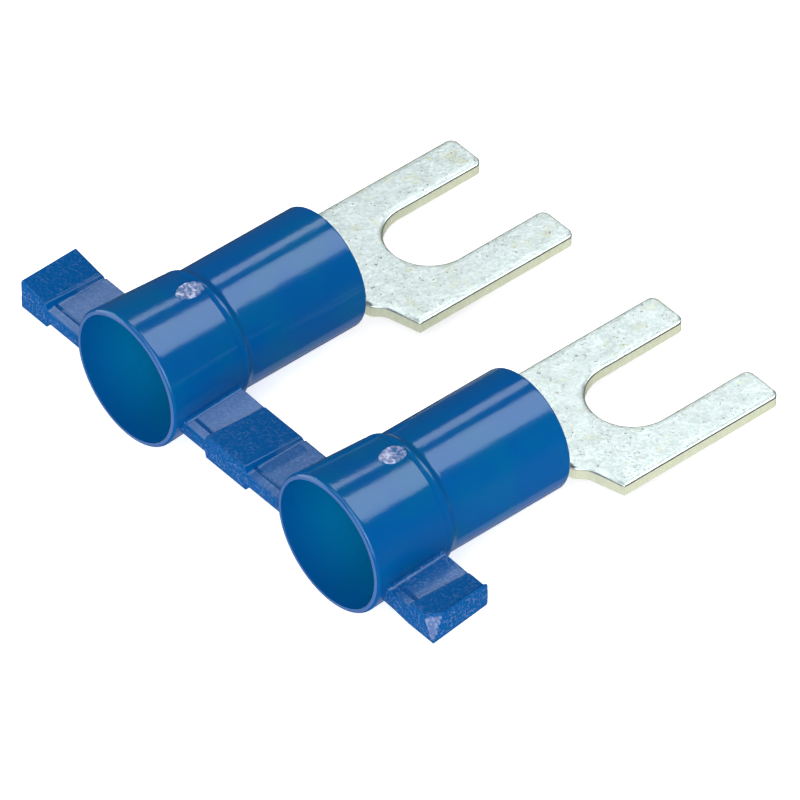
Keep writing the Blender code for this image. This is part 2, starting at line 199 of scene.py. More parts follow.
class Finish(NodeTree):
    """A material with a Principled BSDF, whose patterns are laid out in millimetres on the piece."""

    def __init__(self, name, colour, roughness, metallic=0.0):
        self.material = bpy.data.materials.new(name)
        self.material.use_nodes = True
        self.material.diffuse_color = (*colour, 1.0)
        super().__init__(self.material.node_tree)
        self.shader = self.tree.nodes["Principled BSDF"]
        self.set("Base Color", (*colour, 1.0))
        self.set("Roughness", roughness)
        self.set("Metallic", metallic)
        place = self.add("ShaderNodeTexCoord", output="Object")
        self.place = self.add("ShaderNodeMapping", {}, {"Vector": place, "Scale": (1000.0, 1000.0, 1000.0)})

    def set(self, name, value):
        self.feed(self.shader.inputs[name], value)

    def cloud(self, size, detail=3.0, stretch=(1.0, 1.0, 1.0)):
        """Soft noise whose blotches are about this many millimetres across."""
        spread = self.add("ShaderNodeVectorMath", {"operation": "MULTIPLY"}, {0: self.place, 1: stretch})
        return self.add("ShaderNodeTexNoise", {}, {"Vector": spread, "Scale": 1.0 / size, "Detail": detail})

    def mix(self, share, first, second):
        """One colour in another's place where the share is 1."""
        inputs = {"Factor": share, 6: first, 7: second}
        return self.add("ShaderNodeMix", {"data_type": "RGBA"}, inputs, output=2)

    def relief(self, height, depth):
        """Raise the surface where the height is 1, by this many millimetres."""
        normal = self.add("ShaderNodeBump", {}, {"Height": height, "Distance": depth * MM, "Strength": 1.0})
        self.set("Normal", normal)


PLASTIC_BLUE = (0.0, 0.078, 0.275)
PLASTIC_TEAL = (0.0, 0.090, 0.258)
PLASTIC_GLINT = (0.72, 0.86, 1.0, 1.0)

sleeve_finish = Finish("moulded_blue_plastic", PLASTIC_BLUE, 0.13)
drift = sleeve_finish.between(0.42, sleeve_finish.cloud(2.6, 2.0), 0.66)
sleeve_finish.set("Base Color", sleeve_finish.mix(drift, (*PLASTIC_BLUE, 1.0), (*PLASTIC_TEAL, 1.0)))
fine = sleeve_finish.cloud(0.16, 4.0)
sleeve_finish.set("Roughness", fine * 0.12 + 0.08)
sleeve_finish.set("Specular Tint", PLASTIC_GLINT)
sleeve_finish.set("Specular IOR Level", 0.5)
ripple = sleeve_finish.cloud(0.5, 3.0, (1.0, 0.35, 1.0))
sleeve_finish.relief(ripple * 0.75 + fine * 0.25, 0.009)

# The bore's colour is painted lighter the deeper it goes: painted light standing in for the light that
# reaches into the bore.
bore_painted_light_finish = Finish("blue_plastic_lit_through", (0.0, 0.12, 0.34), 0.2)
depth = bore_painted_light_finish.add("ShaderNodeSeparateXYZ", {}, {0: bore_painted_light_finish.place}, output=1)
painted_light_deeper = bore_painted_light_finish.between(RIM_Y / MM, depth, (RIM_Y + COLLAR_LENGTH) / MM)
bore_painted_light_finish.set("Base Color", bore_painted_light_finish.mix(painted_light_deeper, (0.0, 0.072, 0.245, 1.0), (0.0, 0.26, 0.51, 1.0)))
bore_painted_light_finish.set("Specular Tint", PLASTIC_GLINT)

# The front of the rim's rounding is painted paler: part matt finish, part painted highlight for the sheen
# along the rim.
rim_matt_and_sheen_finish = Finish("rubbed_blue_plastic", (0.05, 0.125, 0.34), 0.4)
rim_matt_and_sheen_finish.set("Specular Tint", PLASTIC_GLINT)


class Recipe(NodeTree):
    """A Geometry Nodes tree with one input for each named size."""

    def __init__(self, name, sizes):
        group = bpy.data.node_groups.new(name, "GeometryNodeTree")
        super().__init__(group)
        group.interface.new_socket("Geometry", in_out="INPUT", socket_type="NodeSocketGeometry")
        self.sockets = {}
        for size, kind in sizes.items():
            self.sockets[size] = group.interface.new_socket(size, in_out="INPUT", socket_type=kind).identifier
        group.interface.new_socket("Geometry", in_out="OUTPUT", socket_type="NodeSocketGeometry")
        self.entry = group.nodes.new("NodeGroupInput")

    def size(self, name):
        return Output(self, self.entry.outputs[name])

    def end(self, geometry):
        self.add("NodeGroupOutput", {}, {0: geometry})

    def make(self, piece, values):
        """Run the tree on a piece with these sizes, and leave the plain mesh that comes out."""
        step = piece.modifiers.new("recipe", "NODES")
        step.node_group = self.tree
        for name, value in values.items():
            step[self.sockets[name]] = value
        made = bpy.data.meshes.new_from_object(piece.evaluated_get(bpy.context.evaluated_depsgraph_get()))
        piece.modifiers.remove(step)
        piece.data = made


lathe = Recipe("turned_in_a_row", {"Count": "NodeSocketInt", "Pitch": "NodeSocketFloat",
                                   "Sides": "NodeSocketInt", "Points": "NodeSocketInt"})
sheet = lathe.add("GeometryNodeMeshGrid", {}, {"Size X": 1.0, "Size Y": 1.0,
                                               "Vertices X": lathe.size("Sides") + 1.0,
                                               "Vertices Y": lathe.size("Points") + 1.0})
corner = lathe.add("GeometryNodeInputPosition")
parted = lathe.add("ShaderNodeSeparateXYZ", {}, {0: corner})
across = Output(lathe, parted.socket.node.outputs["X"]) + 0.5
along = Output(lathe, parted.socket.node.outputs["Y"]) + 0.5
number = along.maths("ROUND", along * lathe.size("Points"), 0.0)
number = number.maths("MODULO", number, lathe.size("Points"))
drawn = lathe.add("GeometryNodeSampleIndex", {"data_type": "FLOAT_VECTOR"},
                  {"Geometry": lathe.size("Geometry"), "Value": corner, "Index": number})
drawn = lathe.add("ShaderNodeSeparateXYZ", {}, {0: drawn})
radius = Output(lathe, drawn.socket.node.outputs["X"])
length = Output(lathe, drawn.socket.node.outputs["Y"])
turn = across * (2.0 * math.pi)
placed = lathe.add("ShaderNodeCombineXYZ", {}, {"X": radius * turn.maths("SINE", turn, 0.0), "Y": length,
                                                "Z": radius * turn.maths("COSINE", turn, 0.0)})
sheet = lathe.add("GeometryNodeSetPosition", {}, {"Geometry": sheet, "Position": placed})
sheet = lathe.add("GeometryNodeMergeByDistance", {}, {"Geometry": sheet, "Distance": WELD})
offset = lathe.add("ShaderNodeCombineXYZ", {}, {"X": lathe.size("Pitch")})
seats = lathe.add("GeometryNodeMeshLine", {}, {"Count": lathe.size("Count"), "Offset": offset})
row = lathe.add("GeometryNodeInstanceOnPoints", {}, {"Points": seats, "Instance": sheet})
row = lathe.add("GeometryNodeRealizeInstances", {}, {"Geometry": row})
lathe.end(row)


def settle(piece, place, smooth_up_to):
    """Move a finished mesh to its place, close it, turn its faces outwards and keep only real edges sharp."""
    bm = bmesh.new()
    bm.from_mesh(piece.data)
    bmesh.ops.transform(bm, matrix=Matrix.Translation(place), verts=bm.verts)
    bmesh.ops.remove_doubles(bm, verts=bm.verts, dist=WELD)
    bmesh.ops.recalc_face_normals(bm, faces=bm.faces)
    bm.to_mesh(piece.data)
    bm.free()
    piece.data.shade_smooth()
    piece.data.set_sharp_from_angle(angle=math.radians(smooth_up_to))


def new_piece(name, bm):
    mesh = bpy.data.meshes.new(name)
    bm.to_mesh(mesh)
    bm.free()
    piece = bpy.data.objects.new(name, mesh)
    bpy.context.scene.collection.objects.link(piece)
    return piece


bm = bmesh.new()
ring = [bm.verts.new((radius, y, 0.0)) for radius, y in wall_line]
for here, there in zip(ring, ring[1:] + ring[:1]):
    bm.edges.new((here, there))
sleeves = new_piece("insulating_sleeves", bm)
lathe.make(sleeves, {"Count": SLEEVES, "Pitch": PITCH, "Sides": SLEEVE_SIDES, "Points": len(wall_line)})
sleeves.data.materials.clear()
for finish in (sleeve_finish, bore_painted_light_finish, rim_matt_and_sheen_finish):
    sleeves.data.materials.append(finish.material)
for face in sleeves.data.polygons:
    from_axis = math.hypot(face.center.x - PITCH * round(face.center.x / PITCH), face.center.z)
    widest = RIM_BORE if face.center.y < COLLAR_LENGTH else COLLAR_BORE
    if from_axis < widest and face.center.y < SEAT_START:
        face.material_index = 1
    # The front of the rim's rounding takes the paler colour: part matt finish, part painted highlight.
    elif face.center.y < RIM_ROUND * RIM_SHEEN_SHARE:
        face.material_index = 2
settle(sleeves, Vector((FIRST_AXIS, RIM_Y, AXIS_Z)), smooth_up_to=32)
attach(sleeves, "root")
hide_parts("insulator_strip")

# Gate scars.
# The blue plastic ran into the mould through a small gate on top of each collar. Broken off, it leaves a
# rough oval of torn, paler plastic that stands a tenth of a millimetre proud.
GATE_FROM_RIM = 3.35 * MM
GATE_WIDTH = 0.86 * MM
GATE_LENGTH = 1.3 * MM
GATE_HEIGHT = 0.1 * MM
GATE_LEAN = math.radians(2.0)
GATE_SIDES = 40
GATE_RAGGED = 0.09
GATE_LUMPS = 0.42
GATE_LUMP_SIZE = 0.17 * MM
GATE_PROFILE = ((1.04, -0.9), (1.0, 0.0), (0.97, 0.5), (0.88, 0.85), (0.74, 0.8),
                (0.58, 0.55), (0.42, 0.4), (0.26, 0.45), (0.1, 0.5))

gate_finish = Finish("torn_blue_plastic", (0.16, 0.27, 0.52), 0.35)
torn = gate_finish.between(0.36, gate_finish.cloud(0.16, 4.0), 0.66)
smear = gate_finish.between(0.42, gate_finish.cloud(0.5, 2.0), 0.6)
bruised = torn * (smear * 0.55 + 0.35) + smear * 0.1
gate_finish.set("Base Color", gate_finish.mix(bruised, (0.02, 0.1, 0.28, 1.0), (0.60, 0.61, 0.83, 1.0)))
gate_finish.set("Roughness", torn * 0.2 + 0.3)
gate_finish.set("Specular Tint", PLASTIC_GLINT)
gate_finish.relief(gate_finish.cloud(0.12, 5.0), 0.05)

bm = bmesh.new()
for seat in range(SLEEVES):
    rows = []
    for level, (share, rise) in enumerate(GATE_PROFILE):
        row = []
        for step in range(GATE_SIDES):
            angle = 2.0 * math.pi * step / GATE_SIDES
            wander = noise.noise(Vector((math.cos(angle) * 1.4, math.sin(angle) * 1.4, seat * 7.0)))
            ragged = share * (1.0 + GATE_RAGGED * wander)
            side = ragged * GATE_WIDTH / 2.0 * math.cos(angle)
            back = GATE_FROM_RIM + ragged * GATE_LENGTH / 2.0 * math.sin(angle)
            lumpy = noise.noise(Vector((side, back, seat * 0.01)) / GATE_LUMP_SIZE)
            lump = GATE_LUMPS * lumpy if level > 1 else 0.0
            high = collar_radius(back) + GATE_HEIGHT * (rise + lump)
            lean = GATE_LEAN + side / COLLAR_RADIUS
            row.append(bm.verts.new((seat * PITCH + high * math.sin(lean), back, high * math.cos(lean))))
        rows.append(row)
    for outer, inner in zip(rows, rows[1:]):
        for here in range(GATE_SIDES):
            there = (here + 1) % GATE_SIDES
            bm.faces.new((outer[here], outer[there], inner[there], inner[here]))
    bm.faces.new(rows[0])
    bm.faces.new(rows[-1])
gates = new_piece("gate_scars", bm)
gates.data.materials.append(gate_finish.material)
settle(gates, Vector((FIRST_AXIS, RIM_Y, AXIS_Z)), smooth_up_to=60)
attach(gates, "root")
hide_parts("insulator_strip")

# Carrier web.
# The same shot of blue plastic joins the collars: a thin link beside each collar, a thicker pad between two
# links, and at both ends half a pad, cut where the next terminals were. The right cut tore off one corner.
WEB_FRONT = 0.53 * MM
WEB_LENGTH = 3.17 * MM
LINK_TOP = -0.57 * MM
LINK_BOTTOM = -1.22 * MM
ROOT_TIGHT = 0.15 * MM
ROOT_WIDE = 0.35 * MM
ROOT_BEND = 20
ROOT_SINK = 0.12 * MM
LINK_TILT = 2
LINK_EDGE = 0.1 * MM
GROOVE_FROM_FRONT = 0.55 * MM
GROOVE_WIDTH = 0.2 * MM
GROOVE_DEPTH = 0.1 * MM
PAD_START = 4.4 * MM
PAD_END = 7.0 * MM
PAD_WALL = 0.16 * MM
PAD_WALL_NARROWS = 0.03 * MM
PAD_WALL_REACH = 1.7
PAD_FOOT_DIP = 0.01 * MM
PAD_SKEW = 0.12 * MM
PAD_RISE = 0.29 * MM
PAD_FALL = -0.02 * MM
CREASE_DEPTH = 0.1 * MM
CREASE_WIDTH = 0.14 * MM
PAD_BOTTOM = -1.52 * MM
PAD_EDGE = 0.07 * MM
LEFT_CUT = -7.35 * MM
RIGHT_CUT = 5.88 * MM
CUT_SKEW = 0.33 * MM
LEFT_SWELL = 0.27 * MM
RIGHT_SWELL = 0.17 * MM
CUT_LIFT = 0.04 * MM
TORN_WIDTH = 0.53 * MM
TORN_LENGTH = 0.72 * MM
KEEL_DEPTH = 0.16 * MM
LINK_ABOVE = 0.005 * MM
LINK_BELOW = 0.05 * MM
LEVEL_WITHIN = 0.01 * MM
WANDER = 0.008 * MM
WANDER_SIZE = 0.5 * MM
SIDE_ROUGHNESS = 0.02
SIDE_GRAIN = 0.3 * MM
SCUFF_REACH = 5.6 * MM
FROST_AND_HIGHLIGHT_REACH = 5.75 * MM
FROST_AND_HIGHLIGHT_OVERLAP = 0.02 * MM
CREASE_REACH = 0.3 * MM

# Shapes across a step: shares of its width and of its height.
WALL_SHAPE = ((-0.25, 0.0), (0.0, 0.06), (0.25, 0.3), (0.75, 0.8),
              (0.9, 0.92), (1.05, 0.98), (1.3, 1.0), (1.6, 1.0))
LEFT_CUT_SHAPE = ((0.0, 0.9), (0.02, 1.0), (0.045, 0.975), (0.3, 0.714),
                  (0.65, 0.357), (0.97, 0.031), (1.0, 0.0))

# Places along the web, in millimetres: first from the right cut's edge, then from the nearest sleeve's axis.
RIGHT_CUT_SHAPE = ((0.3, 0.0), (0.2, 0.12), (0.12, 0.6), (0.07, 0.95), (0.03, 1.0), (0.0, 0.7))
RIGHT_LINK_PLACES = (3.4, 3.6, 3.8, 4.0, 4.2, 4.3)
LEFT_LINK_PLACES = (-5.1, -4.7, -4.3, -3.9, -3.5)
PAD_PLACES = (4.8, 5.1, 5.4, 5.7, 6.0, 6.3)
KEEL_START = 3.2
KEEL_RUN = 1.2


def root_points(y, level, way, side, tilt=0.0):
    """The hollow where a link meets the collar, tight first and then wide, from the collar outwards."""
    outside = collar_radius(y)
    bend = math.radians(ROOT_BEND)
    last = math.radians(tilt)
    widening = ROOT_WIDE - ROOT_TIGHT
    tight_z = way * level + ROOT_WIDE * math.cos(last) - widening * math.cos(bend)
    tight_x = math.sqrt((outside + ROOT_TIGHT) ** 2 - tight_z ** 2)
    wide_x = tight_x + widening * math.sin(bend)
    wide_z = tight_z + widening * math.cos(bend)
    first = math.degrees(math.atan2(tight_x, tight_z))
    inside = outside - ROOT_SINK
    points = [(inside * math.sin(math.radians(first)), inside * math.cos(math.radians(first)))]
    points += corner_arc((tight_x, tight_z), ROOT_TIGHT, 270 - first, 270 - ROOT_BEND, 8)
    points += corner_arc((wide_x, wide_z), ROOT_WIDE, 270 - ROOT_BEND, 270 - tilt, 6)[1:]
    return [(side * x, way * z) for x, z in points]


def edge_drop(distance, radius):
    """How far a face falls at this distance from its rounded edge."""
    if distance >= radius:
        return 0.0
    return radius - math.sqrt(max(0.0, radius ** 2 - (radius - distance) ** 2))


def groove_drop(y):
    """Depth of the tooling groove at a distance behind the rim."""
    gap = abs(y - WEB_FRONT - GROOVE_FROM_FRONT) / (GROOVE_WIDTH / 2.0)
    return GROOVE_DEPTH * max(0.0, 1.0 - gap) ** 0.8


def wall_points(low_x, low, high_x, high):
    """A step up from a link's level to a pad's, with its corners rounded, from the link to the pad."""
    return [(low_x + (high_x - low_x) * share, low + (high - low) * part) for share, part in WALL_SHAPE]


def web_section(y, parts, keel):
    """Top and underside of the web at one distance behind the rim, as rows of points from left to right."""
    back = (y - WEB_FRONT) / WEB_LENGTH
    pad_top = LINK_TOP + PAD_RISE - (PAD_RISE + PAD_FALL) * back
    link_low = LINK_BOTTOM - keel
    end_low = PAD_BOTTOM if keel else LINK_BOTTOM
    top = []
    under = []
    for part, start in parts:
        if part == "collar_right":
            top += [(start + x, z) for x, z in root_points(y, LINK_TOP, 1.0, 1.0, LINK_TILT)]
            under += [(start + x, z) for x, z in root_points(y, link_low, -1.0, 1.0)]
        elif part == "collar_left":
            top += [(start + x, z) for x, z in reversed(root_points(y, LINK_TOP, 1.0, -1.0))]
            under += [(start + x, z) for x, z in reversed(root_points(y, LINK_BOTTOM, -1.0, -1.0))]
        elif part == "link_right":
            root_x, root_z = top[-1]
            for x in RIGHT_LINK_PLACES:
                run = start + x * MM - root_x
                top.append((root_x + run, root_z - math.tan(math.radians(LINK_TILT)) * run))
                under.append((root_x + run, link_low + (end_low - link_low) * (x - KEEL_START) / KEEL_RUN))
        elif part == "link_left":
            for x in LEFT_LINK_PLACES:
                top.append((start + x * MM, LINK_TOP))
                under.append((start + x * MM, LINK_BOTTOM))
        elif part == "pad_start":
            high_x = start + PAD_START + PAD_EDGE
            top += wall_points(start + PAD_START, top[-1][1] - PAD_FOOT_DIP, high_x, pad_top)
            under += wall_points(start + PAD_START, end_low, high_x, PAD_BOTTOM)
        elif part == "pad_middle":
            for x in PAD_PLACES:
                top.append((start + x * MM, pad_top))
                under.append((start + x * MM, PAD_BOTTOM))
        elif part == "pad_end":
            low_x = start + PAD_END - PAD_SKEW * back
            high_x = low_x - PAD_WALL + PAD_WALL_NARROWS * back
            top += reversed(wall_points(low_x, LINK_TOP - CREASE_DEPTH * back, high_x, pad_top))
            top += [(low_x + CREASE_WIDTH, LINK_TOP)]
            under += reversed(wall_points(low_x, LINK_BOTTOM, low_x - PAD_EDGE, PAD_BOTTOM))
            under += [(low_x + CREASE_WIDTH, LINK_BOTTOM)]
        elif part == "left_cut":
            edge = start + LEFT_CUT - CUT_SKEW * back
            wide = start - PITCH + PAD_END - PAD_SKEW * back - PAD_WALL_REACH * PAD_WALL - edge
            for share, swell in LEFT_CUT_SHAPE:
                top.append((edge + share * wide, pad_top + LEFT_SWELL * swell))
                under.append((edge + share * wide, PAD_BOTTOM + (CUT_LIFT if share == 0.0 else 0.0)))
        elif part == "right_cut":
            edge = start + RIGHT_CUT - CUT_SKEW * back
            torn = max(0.0, 1.0 - (y - WEB_FRONT) / TORN_LENGTH)
            swelling = RIGHT_SWELL * min(1.0, back * 2.0)
            for x, swell in RIGHT_CUT_SHAPE:
                top.append((edge - x * MM - TORN_WIDTH * torn, pad_top + swelling * swell))
                under.append((edge - x * MM, PAD_BOTTOM))
    return top, under


def web_rows():
    """Distances behind the rim at which the web is drawn: close together at its edges and at the groove."""
    rows = [0.0, 0.008, 0.025, 0.05, 0.075, 0.1, 0.13, 0.3, 0.4]
    rows += [0.45, 0.475, 0.5, 0.525, 0.55, 0.575, 0.6, 0.625, 0.65, 0.7]
    rows += [0.85 + 0.2 * step for step in range(11)]
    rows += [2.98, 3.04, 3.07, 3.095, 3.12, 3.145, 3.162, 3.17]
    return [WEB_FRONT + row * MM for row in rows]


def add_web(bm, parts, keel=0.0):
    """One length of web as a closed block; its points hold how scuffed the plastic is and how much frost and
    painted highlight it takes.
    """
    scuff = bm.verts.layers.float.get("scuff") or bm.verts.layers.float.new("scuff")
    frost_and_highlight = bm.verts.layers.float.get("frost_and_highlight") or bm.verts.layers.float.new("frost_and_highlight")
    tops = []
    unders = []
    for y in web_rows():
        drop = edge_drop(min(y - WEB_FRONT, WEB_FRONT + WEB_LENGTH - y), LINK_EDGE)
        top, under = web_section(y, parts, keel)
        top_row = []
        under_row = []
        for (x, z), (low_x, low_z) in zip(top, under):
            on_link = 1.0 if z < LINK_TOP + LINK_ABOVE else 0.0
            wear = scuff_of(x)
            wander = WANDER * noise.noise(Vector((x, y, z)) / WANDER_SIZE) * wear
            vert = bm.verts.new((x, y, z - drop - groove_drop(y) * on_link + wander))
            vert[scuff] = wear
            flat = max(drop, groove_drop(y)) < LEVEL_WITHIN and z > LINK_TOP - LINK_BELOW
            vert[frost_and_highlight] = frost_and_highlight_of(x) if flat and on_link else 0.0
            top_row.append(vert)
            vert = bm.verts.new((low_x, y, low_z + drop))
            vert[scuff] = wear
            under_row.append(vert)
        tops.append(top_row)
        unders.append(under_row)
    for near, far, low_near, low_far in zip(tops, tops[1:], unders, unders[1:]):
        for here in range(len(near) - 1):
            bm.faces.new((near[here], near[here + 1], far[here + 1], far[here]))
            bm.faces.new((low_near[here], low_far[here], low_far[here + 1], low_near[here + 1]))
    border = [(0, x) for x in range(len(tops[0]))]
    border += [(y, len(tops[0]) - 1) for y in range(1, len(tops))]
    border += [(len(tops) - 1, x) for x in range(len(tops[0]) - 2, -1, -1)]
    border += [(y, 0) for y in range(len(tops) - 2, 0, -1)]
    steps = 6
    bands = []
    for level in range(steps + 1):
        band = []
        for y_step, x_step in border:
            high = tops[y_step][x_step]
            low = unders[y_step][x_step]
            if level == 0:
                vert = high
            elif level == steps:
                vert = low
            else:
                place = high.co.lerp(low.co, level / steps)
                spot = place / SIDE_GRAIN
                rough = Vector((noise.noise(spot), noise.noise(spot + Vector((9.0, 0.0, 0.0))), 0.0))
                vert = bm.verts.new(place + rough * SIDE_ROUGHNESS * MM)
                reach = TORN_LENGTH * (1.0 - 0.8 * level / steps)
                torn = keel > 0.0 and x_step == len(tops[0]) - 1 and place.y - WEB_FRONT < reach
                vert[scuff] = 2.0 if torn else 1.0
            band.append(vert)
        bands.append(band)
    for upper, lower in zip(bands, bands[1:]):
        for here in range(len(border)):
            there = (here + 1) % len(border)
            bm.faces.new((upper[here], upper[there], lower[there], lower[here]))


def scuff_of(x):
    """How scuffed the web is: hardly beside the first collar, a little on pads, most beside the second."""
    # Beside each crease there are no pale flecks, so the web is left darker there.
    if abs((x - PAD_END) % PITCH - PITCH / 2.0) > PITCH / 2.0 - CREASE_REACH:
        return 0.0
    if PITCH - SCUFF_REACH < x < PITCH + PAD_START:
        return 0.7
    if -SCUFF_REACH < x < PAD_START:
        return 0.12
    return 0.35


def frost_and_highlight_of(x):
    """How frosted a link is and how much painted highlight it takes: full beside the first collar, some left
    of the second, none right of it.
    """
    if -FROST_AND_HIGHLIGHT_REACH < x < PAD_START + FROST_AND_HIGHLIGHT_OVERLAP:
        return 1.0
    return 0.3 if x < PITCH else 0.0


web_finish = Finish("scuffed_blue_plastic", PLASTIC_BLUE, 0.2)
wear = web_finish.add("ShaderNodeAttribute", {"attribute_name": "scuff"}, output="Fac")
matt_and_highlight = web_finish.add("ShaderNodeAttribute", {"attribute_name": "frost_and_highlight"}, output="Fac")
blotch = web_finish.between(0.44, web_finish.cloud(0.45, 3.0), 0.62)
grit = web_finish.between(0.47, web_finish.cloud(0.12, 3.0), 0.62)
pale = (blotch * 0.6 + 0.4) * grit * wear
torn = web_finish.between(1.0, wear, 2.0) * (blotch * 0.4 + grit * 0.3 + 0.3)
scuffed = web_finish.mix(pale * 0.5, (*PLASTIC_BLUE, 1.0), (0.15, 0.23, 0.46, 1.0))
# Where a link is frosted its colour is painted a paler lavender: part matt finish, part painted highlight
# standing in for a light's reflection on its flat top.
frosted_and_highlight = web_finish.mix(matt_and_highlight * (grit * 0.3 + 0.7), scuffed, (0.112, 0.198, 0.405, 1.0))
web_finish.set("Base Color", web_finish.mix(torn, frosted_and_highlight, (0.30, 0.34, 0.53, 1.0)))
web_finish.set("Roughness", wear * 0.08 + matt_and_highlight * 0.25 + 0.08)
web_finish.set("Specular Tint", PLASTIC_GLINT)
web_finish.set("Specular IOR Level", 0.35)
pitted = web_finish.cloud(0.3, 5.0) * 0.7 + web_finish.cloud(0.09, 3.0) * 0.3
web_finish.relief(pitted * (wear + 0.03), 0.014)

bm = bmesh.new()
add_web(bm, (("left_cut", 0.0), ("pad_end", -PITCH), ("link_left", 0.0), ("collar_left", 0.0)))
for seat in range(SLEEVES - 1):
    left = seat * PITCH
    parts = [(part, left) for part in ("collar_right", "link_right", "pad_start", "pad_middle", "pad_end")]
    parts += [(part, left + PITCH) for part in ("link_left", "collar_left")]
    add_web(bm, parts)
last = (SLEEVES - 1) * PITCH
add_web(bm, [(part, last) for part in ("collar_right", "link_right", "pad_start", "right_cut")], KEEL_DEPTH)
web = new_piece("carrier_web", bm)
web.data.materials.append(web_finish.material)
settle(web, Vector((FIRST_AXIS, RIM_Y, AXIS_Z)), smooth_up_to=38)
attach(web, "root")
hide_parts("insulator_strip")

# Fork terminals.
# Each is stamped from one sheet of tinned copper. Its barrel is rolled to a tube with a butt seam and
# serrated inside; past the sleeve the sheet flattens into a neck and a fork. The punch sheared its sides.
SHEET = 0.56 * MM
BARREL_START = 5.45 * MM
BARREL_END = 9.85 * MM
BARREL_RADIUS = 2.06 * MM
BARREL_BREAK = 0.15 * MM
SEAM_GAP = 0.1 * MM
NECK_HALF = 1.83 * MM
NECK_FILLET = 0.9 * MM
NECK_RUN_OUT = 0.6 * MM
TONGUE_HALF = 3.92 * MM
SHOULDER_Y = 12.36 * MM
SHOULDER_ANGLE = math.radians(16)
FLAT_Y = 11.6 * MM
SLOT_HALF = 1.93 * MM
ROOT_Y = 14.25 * MM
TIP_Y = 20.76 * MM
TIP_RADIUS = 0.38 * MM
SERRATIONS = (6.75, 7.65, 8.55)
SERRATION_SHAPE = ((-0.14, 0.0), (-0.05, 0.09), (0.05, 0.09), (0.14, 0.0))
ROLL_WIDTH = 0.3 * MM
ROLL_SLOPE = 0.04 * MM
ROLL_CORNER = 0.06 * MM
ROLL_GUARD = 0.36 * MM
FACING_RUN = 0.25 * MM
CORNER_STEPS = 5
SAME_Y = 0.001 * MM
SHEAR_BREAK = 0.03 * MM
NEARLY_FLAT = 1.0
MIDDLE_RADIUS = BARREL_RADIUS - SHEET / 2.0
FULL_HALF = math.pi * MIDDLE_RADIUS - SEAM_GAP / 2.0


def smooth_rise(value):
    """0 up to 0, 1 from 1, and smooth between them."""
    value = min(1.0, max(0.0, value))
    return value * value * (3.0 - 2.0 * value)


def blank_rows():
    """Rows of the blank from its wire end past the shoulders: distance, half width, depth of a serration."""
    rows = [(BARREL_START, FULL_HALF, BARREL_BREAK), (BARREL_START + BARREL_BREAK, FULL_HALF, 0.0)]
    for y in SERRATIONS:
        for offset, bite in SERRATION_SHAPE:
            rows.append(((y + offset) * MM, FULL_HALF, bite * MM))
    for step in range(13):
        share = step / 12
        y = BARREL_END + (share - 1.0) * NECK_RUN_OUT + (SLEEVE_LENGTH - BARREL_END) / 2.0
        rows.append((y, FULL_HALF + (NECK_HALF - FULL_HALF) * smooth_rise(share), 0.0))
    centre_x = NECK_HALF + NECK_FILLET
    centre_y = SHOULDER_Y - (TONGUE_HALF - centre_x) * math.tan(SHOULDER_ANGLE)
    centre_y -= NECK_FILLET / math.cos(SHOULDER_ANGLE)
    for step in range(9):
        rows.append((SLEEVE_LENGTH + (centre_y - SLEEVE_LENGTH) * step / 9, NECK_HALF, 0.0))
    for y, x in corner_arc((centre_y, centre_x), NECK_FILLET, -90, -math.degrees(SHOULDER_ANGLE), 12):
        rows.append((y, x, 0.0))
    edge_y, edge_x, _ = rows[-1]
    for step in range(1, 11):
        y = edge_y + (SHOULDER_Y - edge_y) * step / 10
        rows.append((y, edge_x + (TONGUE_HALF - edge_x) * step / 10, 0.0))
    return rows + [(SHOULDER_Y + past * MM, TONGUE_HALF, 0.0) for past in (0.04, 0.09, 0.15, 0.22, 0.3, 0.38)]


def roll_steps():
    """Distances in from the edge at which the rolled-over edge is drawn."""
    corner = [ROLL_CORNER * (1.0 - math.cos(math.radians(angle))) for angle in (0, 18, 36, 54, 72, 90)]
    inner = [ROLL_CORNER + (ROLL_WIDTH - ROLL_CORNER) * share for share in (0.25, 0.5, 0.75, 1.0)]
    return corner + inner + [ROLL_GUARD]


def roll_drop(distance, facing):
    """How far the upper face is rolled down at a distance from its edge, most where the edge faces right."""
    drop = ROLL_SLOPE * (0.2 + 0.8 * facing) * max(0.0, 1.0 - distance / ROLL_WIDTH) ** 2
    return drop + edge_drop(distance, ROLL_CORNER)


def blank_columns():
    """Shares of the half width, from -1 to 1: one for each step of the rolled edge, then evenly spaced."""
    side = [1.0 - step / TONGUE_HALF for step in roll_steps()]
    side += [side[-1] * share / 14 for share in range(13, 0, -1)]
    return [-share for share in side] + [0.0] + list(reversed(side))


def rolled(distance, curvature, depth):
    """Place of a point of the sheet bent to this curvature; depth is its height over the sheet's middle."""
    if curvature < NEARLY_FLAT:
        return distance, depth
    radius = 1.0 / curvature
    turn = distance * curvature
    return (radius - depth) * math.sin(turn), radius - (radius - depth) * math.cos(turn)


def fork_edge(inset, y_start):
    """The fork's outline drawn in by an inset, from its right side round both prongs to its left side."""
    tip = TIP_RADIUS - inset
    slot = SLOT_HALF + inset
    half = [(TONGUE_HALF - inset, y_start)]
    half += corner_arc((TONGUE_HALF - TIP_RADIUS, TIP_Y - TIP_RADIUS), tip, 0, 90, 12)
    half += corner_arc((SLOT_HALF + TIP_RADIUS, TIP_Y - TIP_RADIUS), tip, 90, 180, 12)
    half += corner_arc((0.0, ROOT_Y + SLOT_HALF), slot, 0, -90, 36)
    return half + [(-x, y) for x, y in reversed(half[:-1])]


